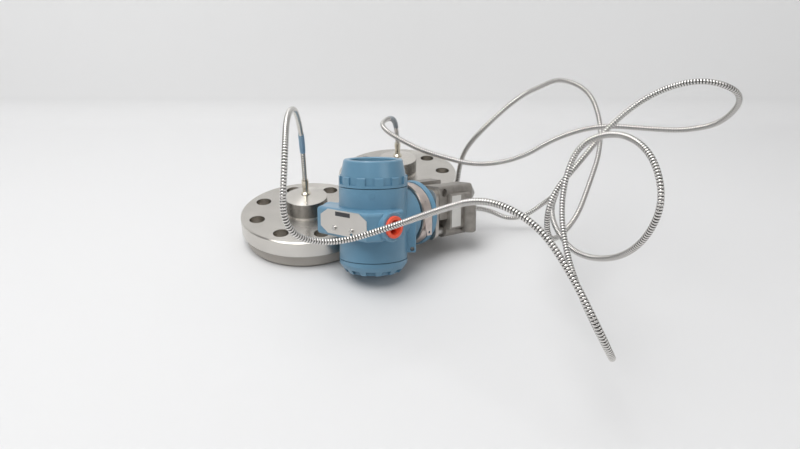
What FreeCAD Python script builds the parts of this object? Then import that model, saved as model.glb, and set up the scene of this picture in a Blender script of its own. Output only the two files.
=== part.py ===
import FreeCAD, Part
import math
import os

V = FreeCAD.Vector
X, Y, Z = V(1, 0, 0), V(0, 1, 0), V(0, 0, 1)

os.makedirs("parts", exist_ok=True)

# Differential pressure transmitter with two remote diaphragm seals on armoured capillaries.
# Millimetres, +Z up. The table is z = 0. The seals lie flat on their face guards and the
# transmitter lies on its side between them, as such a set is laid out on a bench.

# ---------------------------------------------------------------- driving dimensions: seals
FLANGE_R = 82.55          # 2 inch class 300 flange
FLANGE_T = 20.7           # thickness without the raised face
FLANGE_EDGE = 1.5         # chamfer on the flange's rims
BOLT_PCD = 127.0
BOLT_HOLE_R = 9.5
BOLT_COUNT = 8
FACE_R = 46.0             # raised face
FACE_T = 1.6
DIAPHRAGM_R = 29.0
DIAPHRAGM_T = 0.4
DIAPHRAGM_SEAT = 0.8      # how deep the diaphragm lies in the raised face
OIL_GAP = 0.6             # fill fluid behind the diaphragm
OIL_BORE_R = 1.5
HUB_R = 26.4              # hub that carries the capillary
HUB_T = 20.0
HUB_CONE_T = 4.0
HUB_TOP_R = 8.0
GUARD_R = 77.0            # moulded guard under the sealing face
GUARD_T = 16.3
GUARD_EDGE = 3.0
GUARD_GAP = 0.6           # between the guard's recess and the diaphragm face
FITTING_FOOT_R = 6.0
FITTING_FOOT_T = 3.0
FITTING_R = 4.2
FITTING_T = 18.4
FITTING_SPIGOT_R = 3.5
FITTING_SPIGOT_T = 5.0
WEEP_R = 0.9              # weep hole in the fitting's side

# ---------------------------------------------------------------- driving dimensions: housing
BODY_R = 39.1
BODY_TOP = 38.3
BODY_BOTTOM = -43.9
CHAMBER_R = 34.3          # bore of both compartments
WEB_TOP = 18.0            # wall between the two compartments
WEB_BOTTOM = 12.0
NECK_R = 34.3             # neck that the sensor module screws into
NECK_END = 44.7
SOCKET_R = 24.0
SOCKET_T = 7.2
WIRE_HOLE_R = 5.0
WIRE_HOLE_Z = 25.0
SADDLE_Y = -21.25         # axis of the conduit entries
SADDLE_HALF = 16.0        # half height of the saddle
SADDLE_FACE = -48.6       # flat face under the name plate
SADDLE_LONG = 41.0        # half length of that face
SADDLE_SHOULDER = 49.0    # half length at the entries
SADDLE_FILLET = 4.0
ENTRY_R = 16.5            # outside of the conduit entries
ENTRY_END = 54.5
ENTRY_BORE_R = 10.3
LUG_OUT = 49.0            # external earth lug: reach from the axis
LUG_T = 9.0
LUG_TOP = 4.5
LUG_BOTTOM = -38.5
LUG_HOLE_R = 2.6
LUG_HOLE_INSET = 4.0
MARK_R = 2.8              # inspection mark cast on the body
MARK_Z = 31.0
MARK_PROUD = 0.5

# ---------------------------------------------------------------- driving dimensions: covers
SEAM = 0.8                # dark joint between a cover and the housing
SPIGOT_GAP = 0.06         # running clearance of the cover's thread
SPIGOT_T = 8.0
COVER_WALL = 3.3
GRIP_COUNT = 12           # wrench notches around each cover
GRIP_W = 10.5
GRIP_DEPTH = 3.3
DISPLAY_RING_T = 11.5     # notched ring of the display cover
DISPLAY_NOTCH_T = 8.6
CAN_R0 = 37.0             # extended can of the display cover
CAN_R1 = 33.5
DISPLAY_COVER_TOP = 68.5
CAN_EDGE = 1.2
RIM_T = 5.0               # inward rim over the glass
WINDOW_R = 26.6
GLASS_R = 29.4
GLASS_T = 6.0
GASKET_T = 0.8
RETAINER_T = 3.0
FIT = 0.1                 # clearance of pieces that drop into a bore
TERMINAL_COVER_END = -60.1
END_R = 31.6
SHOULDER_R = 37.4
SHOULDER_DROP = 7.5
END_PLATE_T = 7.0
END_NOTCH_T = 5.2
END_NOTCH_DEPTH = 9.5
RING_SECTION_R = 0.9      # O-ring section
RING_MID_R = 36.2
GROOVE_EXTRA = 0.15

# ---------------------------------------------------------------- driving dimensions: inside
BEZEL_R = 27.5
BEZEL_BOTTOM = 40.0
BEZEL_T = 12.0
LCD_W = 34.0
LCD_H = 22.0
LCD_T = 1.2
MODULE_BOARD_R = 29.0
MODULE_BOARD_T = 19.5
STAND_T = 1.0
BLOCK_R = 31.0
BLOCK_BACK = -6.0         # flat side of the terminal block, clear of the entries
BLOCK_T = 22.0
TERMINAL_COUNT = 3
TERMINAL_PITCH = 14.0
TERMINAL_Y = 10.0
TERMINAL_R = 3.4
TERMINAL_HEAD_T = 2.4
TERMINAL_SHANK_R = 1.9

# ---------------------------------------------------------------- driving dimensions: trim
PLATE_T = 0.8
PLATE_GAP = 0.15
PLATE_MID = 4.0           # the plate sits this far towards the plugged entry
PLATE_LONG = 38.2
PLATE_TOP = 14.8
PLATE_BOTTOM = -12.4
PLATE_CUT_X = 12.5
PLATE_CUT_Z = 7.0
SCREW_X = 14.3
SCREW_Z = -5.5
SCREW_HEAD_R = 2.9
SCREW_HEAD_T = 1.8
SCREW_R = 1.45
SCREW_T = 8.0
SCREW_SLOT = 0.8
BUTTON_X = 8.0
BUTTON_Z = 4.0
BUTTON_R = 4.0
BUTTON_GAP = 0.2
BUTTON_T = 9.0
BUTTON_PROUD = -0.4
BUTTON_TRAVEL = 1.5
PLUG_HEAD_R = 12.15
PLUG_HEAD_T = 3.2
PLUG_T = 15.0
PLUG_WALL = 1.8
PLUG_GAP = 0.1
PLUG_BAR_T = 2.0
BLIND_HEX = 10.0
BLIND_HEX_T = 7.0
BLIND_T = 16.0
SET_SCREW_R = 2.4
SET_SCREW_T = 7.0

# ---------------------------------------------------------------- driving dimensions: sensor end
SWIVEL_GAP = 0.4          # between the housing's neck and the module's shoulder
SWIVEL_FIT = 0.06
MODULE_R = 36.2
COLLAR_Y = 60.0
COLLAR_R0 = 37.8
COLLAR_R1 = 39.0
COLLAR_T = 6.4
BASE_T = 5.6
BAND_T = 0.9
BAND_FIT = 0.05
BAND_START = 46.3
BAND_W = 13.0
TONGUE_DROP = 21.5
TONGUE_END_W = 8.5
TONGUE_HOLE_R = 1.6
BOLT_X = 27.0
BOLT_Z = 20.6
BOLT_PAD_R = 10.3
BOLT_R = 5.4
BOLT_AF = 15.9
BOLT_HEAD_T = 8.0
BOLT_IN_MODULE = 5.0
BOLT_GAP = 0.1
PAD_END = 131.0
LOWER_PAD_R = 8.6
CORE_X = 24.0
CORE_Z = 24.0
CORE_END = 122.0
UPPER_BOTTOM = -6.0       # the upper half of the flange is this wide block
UPPER_TOP = 33.5
UPPER_LUG_IN = 14.0       # gap between the two upper lugs, each side of the middle
UPPER_EDGE = 4.0
END_X = 43.0
END_TOP = 24.0
END_BOTTOM = -18.5
END_START = 86.0
END_EDGE = 1.5
VENT_R = 8.8
VENT_X = 44.0
VENT_Y = 118.0
VENT_BOTTOM = -24.5
VENT_TOP = 10.0
VENT_EDGE = 1.5
VENT_BAND_T = 5.0         # turned band around the top of each vent boss
VENT_BAND_DEPTH = 0.5
VENT_BAND_DROP = 4.0
VENT_PLUG_R = 3.5
VENT_PLUG_T = 9.0
VENT_PLUG_AF = 4.0
VENT_PLUG_AF_T = 4.0
TAP_R = 4.8               # bracket thread in each side of the flange
TAP_DEPTH = 4.5
TAP_Y = 8.0
TAP_Z = 26.0
PORT_X = 27.0
PORT_R = 8.0
PORT_T = 9.0
CONNECTOR_GAP = 0.05
CONNECTOR_FLANGE_R = 8.8
CONNECTOR_FLANGE_T = 3.0
CONNECTOR_NECK_R = 4.4
CONNECTOR_END = 135.0
ISOLATOR_X = 17.0
ISOLATOR_R = 10.5
ISOLATOR_T = 0.4
GLAND_MID_R = 12.4
GLAND_SECTION_R = 0.9
GLAND_EXTRA = 0.1
LABEL_Y0 = 87.6
LABEL_W = 16.0
LABEL_TOP = 22.0
LABEL_BOTTOM = -15.8
LABEL_T = 0.4

# ---------------------------------------------------------------- layout on the table
SEAL_1 = V(-61.6, -28.4, 0)
SEAL_GAP = 1.067          # between the two seal flanges
SEAL_BEARING = 46.634      # direction from the first seal to the second
SEAL_2 = SEAL_1 + FreeCAD.Rotation(V(0, 0, 1), SEAL_BEARING).multVec(V(2 * FLANGE_R + SEAL_GAP, 0, 0))
SEAL_1_TURN = 22.5
SEAL_2_TURN = 2.1
TRANSMITTER_AT = V(25.5, -107.1, 66.97)
LEAN = 18.5               # the housing leans back by this much
SPIN = 45.0               # turn about its cover axis
HOSE_R = 3.05
HOSE_RISE_1 = 26.6         # straight rise of each hose out of its fitting
HOSE_RISE_2 = 8.6
MIDDLE = V(2.35, 1.89, 0)  # middle of the rigid pieces, which becomes the origin

# The transmitter's own frame: +X out of the plugged entry, +Y to the process end,
# +Z to the display cover, origin where the cover axis and the sensor axis cross.
LIE = FreeCAD.Placement(TRANSMITTER_AT, FreeCAD.Rotation(X, -LEAN)).multiply(
    FreeCAD.Placement(V(0, 0, 0), FreeCAD.Rotation(Z, -SPIN)))


def disc(r, start, end, axis=Z, at=V(0, 0, 0)):
    """Cylinder from start to end along an axis."""
    return Part.makeCylinder(r, end - start, at + axis * start, axis)


def block(x0, x1, y0, y1, z0, z1):
    return Part.makeBox(x1 - x0, y1 - y0, z1 - z0, V(x0, y0, z0))


def turned(profile):
    """Solid turned about Z from (radius, height) corners."""
    points = [V(r, 0, z) for r, z in profile]
    return Part.Face(Part.makePolygon(points + points[:1])).revolve(V(0, 0, 0), Z, 360)


def prism(corners, start, end, axis):
    """Polygon drawn across an axis and pushed along it. Corners are (x, z) or (x, y)."""
    if axis is Y:
        points = [V(a, start, b) for a, b in corners]
    else:
        points = [V(a, b, start) for a, b in corners]
    return Part.Face(Part.makePolygon(points + points[:1])).extrude(axis * (end - start))


def hexagon(across_flats):
    r = across_flats / math.sqrt(3)
    return [(r * math.cos(math.radians(60 * i)), r * math.sin(math.radians(60 * i)))
            for i in range(6)]


def moved(shape, x=0, y=0, z=0):
    copy = shape.copy()
    copy.translate(V(x, y, z))
    return copy


def turned_by(shape, angle, axis=Z, at=V(0, 0, 0)):
    copy = shape.copy()
    copy.rotate(at, axis, angle)
    return copy


def around(shape, count, first=0.0):
    return [turned_by(shape, first + 360.0 * i / count) for i in range(count)]


def edges_where(shape, test):
    return [e for e in shape.Edges if test(e)]


def save(name, shape, place=None):
    """Write one node. The transmitter's pieces are laid on the table by their placement."""
    out = shape.removeSplitter()
    if place is not None:
        out.Placement = place.multiply(out.Placement)
    out.translate(MIDDLE * -1)
    if not out.isValid() or out.Volume <= 0:
        print("CHECK", name, "valid", out.isValid(), "volume", out.Volume)
    out.exportStep("parts/%s.step" % name)
    print("%-24s solids %d volume %.0f" % (name, len(out.Solids), out.Volume))


# ================================================================ remote seals
def seal_guard():
    """Moulded guard that keeps the diaphragm off the table: a disc with a round recess."""
    recess_r = FACE_R + 2
    floor = GUARD_T - FACE_T - GUARD_GAP
    return turned([(0, 0), (GUARD_R - GUARD_EDGE, 0), (GUARD_R, GUARD_EDGE),
                   (GUARD_R, GUARD_T - GUARD_EDGE / 2), (GUARD_R - GUARD_EDGE / 2, GUARD_T),
                   (recess_r, GUARD_T), (recess_r, floor), (0, floor)])


def seal_flange():
    """Flange, raised face and capillary hub, turned from one forging, then drilled."""
    under, top = GUARD_T, GUARD_T + FLANGE_T
    hub_top = top + HUB_T
    crown = hub_top + HUB_CONE_T
    face = under - FACE_T
    body = turned([(0, face), (FACE_R, face), (FACE_R, under), (FLANGE_R - FLANGE_EDGE, under),
                   (FLANGE_R, under + FLANGE_EDGE), (FLANGE_R, top - FLANGE_EDGE),
                   (FLANGE_R - FLANGE_EDGE, top), (HUB_R, top), (HUB_R, hub_top),
                   (HUB_TOP_R, crown), (0, crown)])
    hole = moved(disc(BOLT_HOLE_R, under - 1, top + 1), x=BOLT_PCD / 2)
    seat = disc(DIAPHRAGM_R, face - 1, face + DIAPHRAGM_SEAT)
    cavity = disc(DIAPHRAGM_R - 2, face, face + DIAPHRAGM_SEAT + OIL_GAP)
    oil = disc(OIL_BORE_R, face, crown + 1)
    socket = disc(FITTING_SPIGOT_R, crown - FITTING_SPIGOT_T, crown + 1)
    return body.cut([seat, cavity, oil, socket] + around(hole, BOLT_COUNT))


def seal_diaphragm():
    """Thin corrugated foil welded into the raised face."""
    face = GUARD_T - FACE_T
    top = face + DIAPHRAGM_SEAT
    steps = 6
    lower, upper = [], []
    for i in range(steps + 1):
        r = (DIAPHRAGM_R - 2.5) * i / steps
        wave = 0.1 * (i % 2)
        lower.append((r, top - DIAPHRAGM_T - wave))
        upper.append((r, top - wave))
    lower.append((DIAPHRAGM_R, top - DIAPHRAGM_T))
    upper.append((DIAPHRAGM_R, top))
    return turned(lower + upper[::-1])


def capillary_fitting():
    """Turned fitting on the hub: flared foot, slim neck with a weep hole, hose collar."""
    crown = GUARD_T + FLANGE_T + HUB_T + HUB_CONE_T
    foot = crown + FITTING_FOOT_T
    collar = crown + FITTING_T
    body = turned([(0, crown - FITTING_SPIGOT_T), (FITTING_SPIGOT_R, crown - FITTING_SPIGOT_T),
                   (FITTING_SPIGOT_R, crown), (FITTING_FOOT_R, crown),
                   (FITTING_FOOT_R, crown + 1.0), (FITTING_R - 0.5, foot),
                   (FITTING_R - 0.5, collar - 6), (FITTING_R, collar - 5.5),
                   (FITTING_R, collar), (0, collar)])
    weep = disc(WEEP_R, 0, FITTING_R + 1, axis=Y * -1, at=V(0, 0, foot + 5))
    return body.cut([disc(OIL_BORE_R, crown - FITTING_SPIGOT_T - 1, collar - 8), weep])


for number, centre, turn in ((1, SEAL_1, SEAL_1_TURN), (2, SEAL_2, SEAL_2_TURN)):
    spot = FreeCAD.Placement(centre, FreeCAD.Rotation(Z, turn))
    upright = FreeCAD.Placement(centre, FreeCAD.Rotation())
    save("seal_guard_%d" % number, seal_guard(), spot)
    save("seal_flange_%d" % number, seal_flange(), spot)
    save("seal_diaphragm_%d" % number, seal_diaphragm(), spot)
    save("capillary_fitting_%d" % number, capillary_fitting(), upright)


# ================================================================ housing casting
def saddle():
    """Cross boss of the casting: conduit entries at both ends, flat face for the name plate."""
    corners = [(-SADDLE_SHOULDER, 0), (-SADDLE_SHOULDER, SADDLE_FACE + 15),
               (-SADDLE_LONG, SADDLE_FACE), (SADDLE_LONG, SADDLE_FACE),
               (SADDLE_SHOULDER, SADDLE_FACE + 15), (SADDLE_SHOULDER, 0)]
    body = prism(corners, -SADDLE_HALF, SADDLE_HALF, Z)
    outer = edges_where(body, lambda e: e.CenterOfMass.y < -1 and
                        abs(abs(e.CenterOfMass.z) - SADDLE_HALF) < 0.01)
    return body.makeFillet(SADDLE_FILLET, outer)


def earth_lug():
    """Upright cast lug for the external earth clamp, with a hole near each end."""
    lug = block(BODY_R - 4, LUG_OUT, -LUG_T / 2, LUG_T / 2, LUG_BOTTOM, LUG_TOP)
    rim = edges_where(lug, lambda e: e.CenterOfMass.x > LUG_OUT - 0.01)
    lug = lug.makeFillet(2.0, rim)
    middle = (BODY_R + LUG_OUT) / 2 + 0.6
    holes = [disc(LUG_HOLE_R, -LUG_T, LUG_T, axis=Y, at=V(middle, 0, z))
             for z in (LUG_TOP - LUG_HOLE_INSET, LUG_BOTTOM + LUG_HOLE_INSET)]
    return turned_by(lug.cut(holes), SPIN)


def housing():
    """Two-compartment housing, one casting: body, neck, saddle, entries, earth lug."""
    body = disc(BODY_R, BODY_BOTTOM, BODY_TOP)
    neck = disc(NECK_R, 0, NECK_END, axis=Y)
    neck = neck.makeChamfer(1.0, edges_where(neck, lambda e: e.CenterOfMass.y > NECK_END - 0.01
                                             and e.Curve.TypeId == "Part::GeomCircle"))
    entries = disc(ENTRY_R, -ENTRY_END, ENTRY_END, axis=X, at=V(0, SADDLE_Y, 0))
    entries = entries.makeChamfer(1.2, edges_where(
        entries, lambda e: abs(abs(e.CenterOfMass.x) - ENTRY_END) < 0.01))
    mark = disc(MARK_R, BODY_R - 3, BODY_R + MARK_PROUD, axis=X, at=V(0, 0, MARK_Z))
    shell = body.fuse([neck, entries, saddle(), earth_lug(), turned_by(mark, -SPIN)])
    hollows = [disc(CHAMBER_R, WEB_TOP, BODY_TOP + 1), disc(CHAMBER_R, BODY_BOTTOM - 1, WEB_BOTTOM),
               disc(SOCKET_R, NECK_END - SOCKET_T, NECK_END + 1, axis=Y),
               disc(WIRE_HOLE_R, CHAMBER_R - 8, NECK_END - 1, axis=Y, at=V(0, 0, WIRE_HOLE_Z)),
               disc(ENTRY_BORE_R, -ENTRY_END - 1, ENTRY_END + 1, axis=X, at=V(0, SADDLE_Y, 0))]
    for side in (-1, 1):
        hollows.append(disc(BUTTON_R + BUTTON_GAP, SADDLE_FACE - 1,
                            SADDLE_FACE + BUTTON_T - BUTTON_PROUD + BUTTON_TRAVEL + 0.5,
                            axis=Y, at=V(PLATE_MID + side * BUTTON_X, 0, BUTTON_Z)))
        hollows.append(disc(SCREW_R, SADDLE_FACE - 1, SADDLE_FACE + SCREW_T,
                            axis=Y, at=V(PLATE_MID + side * SCREW_X, 0, SCREW_Z)))
    hollows.append(disc(SET_SCREW_R, SOCKET_R - 1, NECK_R + 1, axis=X * -1,
                        at=V(0, NECK_END - SOCKET_T / 2, 0)))
    return shell.cut(hollows)


save("housing", housing(), LIE)


# ================================================================ covers
def grip_notch(r_in, z0, z1):
    return block(r_in, BODY_R + 2, -GRIP_W / 2, GRIP_W / 2, z0, z1)


def ring_groove(z0, z1):
    half = RING_SECTION_R + GROOVE_EXTRA
    return disc(RING_MID_R + half, z0, z1).cut(disc(RING_MID_R - half, z0, z1))


SPIGOT_R = CHAMBER_R - SPIGOT_GAP
COVER_BORE_R = SPIGOT_R - COVER_WALL
DISPLAY_SEAT = BODY_TOP + SEAM
RIM_UNDER = DISPLAY_COVER_TOP - RIM_T
GLASS_TOP = RIM_UNDER - GASKET_T
GLASS_BOTTOM = GLASS_TOP - GLASS_T


def display_cover():
    """Extended cover: threaded spigot, notched grip ring, tapered can and window rim."""
    ring_top = DISPLAY_SEAT + DISPLAY_RING_T
    top = DISPLAY_COVER_TOP
    body = turned([(COVER_BORE_R, BODY_TOP - SPIGOT_T), (SPIGOT_R, BODY_TOP - SPIGOT_T),
                   (SPIGOT_R, DISPLAY_SEAT), (BODY_R, DISPLAY_SEAT), (BODY_R, ring_top - 0.8),
                   (BODY_R - 0.8, ring_top), (CAN_R0, ring_top), (CAN_R1, top - CAN_EDGE),
                   (CAN_R1 - CAN_EDGE, top), (WINDOW_R + 1.2, top), (WINDOW_R, top - 1.2),
                   (WINDOW_R, RIM_UNDER), (COVER_BORE_R - 0.9, RIM_UNDER),
                   (COVER_BORE_R - 0.9, ring_top), (COVER_BORE_R, ring_top - 1)])
    notch = grip_notch(BODY_R - GRIP_DEPTH, ring_top - DISPLAY_NOTCH_T, ring_top + 1)
    can = turned([(0, ring_top - DISPLAY_NOTCH_T - 1), (CAN_R0, ring_top - DISPLAY_NOTCH_T - 1),
                  (CAN_R0, ring_top), (CAN_R1, top), (0, top)])
    notch = notch.cut(can)
    groove = ring_groove(DISPLAY_SEAT - 1, DISPLAY_SEAT + 2 * RING_SECTION_R - SEAM + GROOVE_EXTRA)
    return body.cut(around(notch, GRIP_COUNT, -SPIN - 3.4) + [groove])


def terminal_cover():
    """Plain cover: threaded spigot, closed end, notches open to the end."""
    seat = BODY_BOTTOM - SEAM
    end = TERMINAL_COVER_END
    body = turned([(0, end), (END_R, end), (SHOULDER_R, end + SHOULDER_DROP),
                   (BODY_R, end + SHOULDER_DROP + 3.2), (BODY_R, seat), (SPIGOT_R, seat),
                   (SPIGOT_R, BODY_BOTTOM + SPIGOT_T), (COVER_BORE_R, BODY_BOTTOM + SPIGOT_T),
                   (COVER_BORE_R, end + END_PLATE_T), (0, end + END_PLATE_T)])
    notch = grip_notch(BODY_R - END_NOTCH_DEPTH, end - 1, end + END_NOTCH_T)
    groove = ring_groove(seat - 2 * RING_SECTION_R + SEAM - GROOVE_EXTRA, seat + 1)
    return body.cut(around(notch, GRIP_COUNT, -SPIN - 3.4) + [groove])


save("display_cover", display_cover(), LIE)
save("terminal_cover", terminal_cover(), LIE)
save("display_cover_oring",
     Part.makeTorus(RING_MID_R, RING_SECTION_R, V(0, 0, BODY_TOP + RING_SECTION_R + 0.02)), LIE)
save("terminal_cover_oring",
     Part.makeTorus(RING_MID_R, RING_SECTION_R, V(0, 0, BODY_BOTTOM - RING_SECTION_R - 0.02)), LIE)
save("window_gasket", disc(GLASS_R, GLASS_TOP, RIM_UNDER).cut(
    disc(WINDOW_R, GLASS_TOP - 1, RIM_UNDER + 1)), LIE)
save("window_glass", disc(GLASS_R, GLASS_BOTTOM, GLASS_TOP), LIE)
save("window_retainer", disc(COVER_BORE_R - 0.9, GLASS_BOTTOM - RETAINER_T, GLASS_BOTTOM).cut(
    disc(BEZEL_R + 0.5, GLASS_BOTTOM - RETAINER_T - 1, GLASS_BOTTOM + 1)), LIE)


# ================================================================ inside the housing
def display_module():
    """Plug-on display: round moulded bezel with a sunk window for the glass panel."""
    top = BEZEL_BOTTOM + BEZEL_T
    body = disc(BEZEL_R, BEZEL_BOTTOM, top)
    body = body.makeChamfer(1.0, edges_where(body, lambda e: e.CenterOfMass.z > top - 0.01))
    window = block(-LCD_W / 2 - FIT, LCD_W / 2 + FIT, -LCD_H / 2 - FIT, LCD_H / 2 + FIT,
                   top - LCD_T - 0.6, top + 1)
    return turned_by(body.cut(window), -SPIN)


def terminal_block():
    """Moulded block, a disc with one side cut flat to leave room for the cable entries."""
    body = disc(BLOCK_R, WEB_BOTTOM - BLOCK_T, WEB_BOTTOM)
    body = body.common(block(-BLOCK_R, BLOCK_R, BLOCK_BACK, BLOCK_R, -BLOCK_R, BLOCK_R))
    holes = [disc(TERMINAL_SHANK_R, WEB_BOTTOM - BLOCK_T - 1, WEB_BOTTOM - 6,
                  at=V(x, TERMINAL_Y, 0)) for x in terminal_places()]
    return body.cut(holes)


def terminal_places():
    middle = (TERMINAL_COUNT - 1) / 2
    return [(i - middle) * TERMINAL_PITCH for i in range(TERMINAL_COUNT)]


def terminal_screws():
    """Pan-head wire clamp screws with a cross slot."""
    face = WEB_BOTTOM - BLOCK_T
    screws = []
    for x in terminal_places():
        head = disc(TERMINAL_R, face - TERMINAL_HEAD_T, face, at=V(x, TERMINAL_Y, 0))
        shank = disc(TERMINAL_SHANK_R, face, WEB_BOTTOM - 6.5, at=V(x, TERMINAL_Y, 0))
        slot = moved(block(-TERMINAL_R, TERMINAL_R, -0.5, 0.5, face - TERMINAL_HEAD_T - 1,
                           face - TERMINAL_HEAD_T + 1.2), x=x, y=TERMINAL_Y)
        screws.append(head.fuse(shank).cut(slot))
    return Part.makeCompound(screws)


LCD_BOTTOM = BEZEL_BOTTOM + BEZEL_T - LCD_T - 0.6
save("display_module", display_module(), LIE)
save("display_panel", turned_by(block(-LCD_W / 2, LCD_W / 2, -LCD_H / 2, LCD_H / 2, LCD_BOTTOM,
                                      LCD_BOTTOM + LCD_T), -SPIN), LIE)
save("electronics_module", disc(MODULE_BOARD_R, WEB_TOP + STAND_T, WEB_TOP + STAND_T + MODULE_BOARD_T)
     .fuse(disc(4.0, WEB_TOP, WEB_TOP + STAND_T, at=V(0, -16, 0)))
     .fuse(disc(4.0, WEB_TOP, WEB_TOP + STAND_T, at=V(0, 16, 0)))
     .fuse(disc(9.0, WEB_TOP + STAND_T + MODULE_BOARD_T - 1, BEZEL_BOTTOM)), LIE)
save("terminal_block", terminal_block(), LIE)
save("terminal_screws", terminal_screws(), LIE)


# ================================================================ name plate, buttons, plugs
def name_plate():
    """Stainless plate with cut corners. It hangs on one screw and a slot clears the other."""
    corners = [(-PLATE_LONG, PLATE_BOTTOM + PLATE_CUT_Z), (-PLATE_LONG, PLATE_TOP - PLATE_CUT_Z),
               (-PLATE_LONG + PLATE_CUT_X, PLATE_TOP), (PLATE_LONG - PLATE_CUT_X, PLATE_TOP),
               (PLATE_LONG, PLATE_TOP - PLATE_CUT_Z), (PLATE_LONG, PLATE_BOTTOM + PLATE_CUT_Z),
               (PLATE_LONG - PLATE_CUT_X, PLATE_BOTTOM), (-PLATE_LONG + PLATE_CUT_X, PLATE_BOTTOM)]
    outer = SADDLE_FACE - PLATE_GAP - PLATE_T
    plate = prism(corners, outer, outer + PLATE_T, Y)
    pivot = disc(SCREW_R + 0.15, outer - 1, outer + 2, axis=Y, at=V(-SCREW_X, 0, SCREW_Z))
    free = SCREW_R + 0.3
    sweep = 2 * SCREW_X - math.sqrt(4 * SCREW_X ** 2 - (SCREW_Z - PLATE_BOTTOM) ** 2)
    slot = block(SCREW_X - free - sweep, SCREW_X + free, outer - 1, outer + 2,
                 PLATE_BOTTOM - 1, SCREW_Z)
    slot = slot.fuse(disc(free, outer - 1, outer + 2, axis=Y, at=V(SCREW_X, 0, SCREW_Z)))
    return moved(plate.cut([pivot, slot]), x=PLATE_MID)


def plate_screws():
    outer = SADDLE_FACE - PLATE_GAP - PLATE_T - 0.05
    screws = []
    for x in (PLATE_MID - SCREW_X, PLATE_MID + SCREW_X):
        at = V(x, 0, SCREW_Z)
        head = disc(SCREW_HEAD_R, outer - SCREW_HEAD_T, outer, axis=Y, at=at)
        head = head.makeFillet(0.8, edges_where(
            head, lambda e: e.CenterOfMass.y < outer - SCREW_HEAD_T + 0.01))
        shank = disc(SCREW_R, outer - 0.1, SADDLE_FACE + SCREW_T, axis=Y, at=at)
        slot = moved(block(-SCREW_HEAD_R, SCREW_HEAD_R, outer - SCREW_HEAD_T - 1,
                           outer - SCREW_HEAD_T + 0.8, -SCREW_SLOT / 2, SCREW_SLOT / 2),
                     x=x, z=SCREW_Z)
        screws.append(head.fuse(shank).cut(turned_by(slot, 35, axis=Y, at=at)))
    return Part.makeCompound(screws)


def push_button(side):
    start = SADDLE_FACE - BUTTON_PROUD
    at = V(PLATE_MID + side * BUTTON_X, 0, BUTTON_Z)
    button = disc(BUTTON_R, start, start + BUTTON_T, axis=Y, at=at)
    cross = [turned_by(moved(block(-2.6, 2.6, start - 1, start + 1.0, -0.5, 0.5),
                             x=at.x, z=at.z), a, axis=Y, at=at) for a in (0, 90)]
    return button.cut(cross)


def conduit_plug():
    """Moulded thread protector: a cup with a thick rim and a pull bar across it."""
    start, end = ENTRY_END - PLUG_T, ENTRY_END + PLUG_HEAD_T
    at = V(0, SADDLE_Y, 0)
    skirt_r = ENTRY_BORE_R - PLUG_GAP
    head = disc(PLUG_HEAD_R, ENTRY_END, end, axis=X, at=at)
    head = head.makeFillet(1.0, edges_where(head, lambda e: e.CenterOfMass.x > end - 0.01))
    skirt = disc(skirt_r, start, ENTRY_END, axis=X, at=at)
    cup = disc(skirt_r - PLUG_WALL, start + PLUG_WALL, end + 1, axis=X, at=at)
    bar = block(start + 1, ENTRY_END - 2, SADDLE_Y - skirt_r + 0.5, SADDLE_Y + skirt_r - 0.5,
                -PLUG_BAR_T / 2, PLUG_BAR_T / 2)
    return head.fuse(skirt).cut(cup).fuse(turned_by(bar, -30, axis=X, at=at))


def blind_plug():
    """Steel stopping plug with a hexagon socket, screwed flush into the far entry."""
    at = V(0, SADDLE_Y, 0)
    plug = disc(ENTRY_BORE_R - PLUG_GAP, -ENTRY_END + 1, -ENTRY_END + 1 + BLIND_T, axis=X, at=at)
    points = [V(-ENTRY_END, SADDLE_Y + a, b) for a, b in hexagon(BLIND_HEX)]
    socket = Part.Face(Part.makePolygon(points + points[:1])).extrude(X * (BLIND_HEX_T + 1))
    return plug.cut(socket)


save("name_plate", name_plate(), LIE)
save("plate_screws", plate_screws(), LIE)
save("zero_button", push_button(-1), LIE)
save("span_button", push_button(1), LIE)
save("conduit_plug", conduit_plug(), LIE)
save("blind_plug", blind_plug(), LIE)
save("swivel_set_screw", disc(SET_SCREW_R, NECK_R - SET_SCREW_T - 0.8, NECK_R - 0.8,
                              axis=X * -1, at=V(0, NECK_END - SOCKET_T / 2, 0)), LIE)


# ================================================================ sensor module
SHOULDER_Y = NECK_END + SWIVEL_GAP
BASE_START = COLLAR_Y + COLLAR_T
BASE_END = BASE_START + BASE_T


def bolt_places():
    return [(sx * BOLT_X, sz * BOLT_Z) for sx in (-1, 1) for sz in (-1, 1)]


def pads(r, start, end, places):
    return [disc(r, start, end, axis=Y, at=V(x, 0, z)) for x, z in places]


def sensor_module():
    """Welded sensor body: swivel spigot, round shoulder and the rectangular base it bolts by."""
    spigot = disc(SOCKET_R - SWIVEL_FIT, NECK_END - SOCKET_T + 0.3, SHOULDER_Y, axis=Y)
    shoulder = disc(MODULE_R, SHOULDER_Y, BASE_START, axis=Y)
    r = BOLT_PAD_R - 1
    base = block(-BOLT_X - r, BOLT_X + r, BASE_START, BASE_END, -BOLT_Z - r, BOLT_Z + r)
    base = base.makeFillet(r - 0.5, edges_where(
        base, lambda e: abs(e.tangentAt(e.FirstParameter).dot(Y)) > 0.9))
    holes = pads(BOLT_R, BASE_END - BOLT_IN_MODULE, BASE_END + 1, bolt_places())
    seats = pads(ISOLATOR_R, BASE_END - ISOLATOR_T, BASE_END + 1, ((-ISOLATOR_X, 0), (ISOLATOR_X, 0)))
    return spigot.fuse([shoulder, base]).cut(holes + seats)


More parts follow.
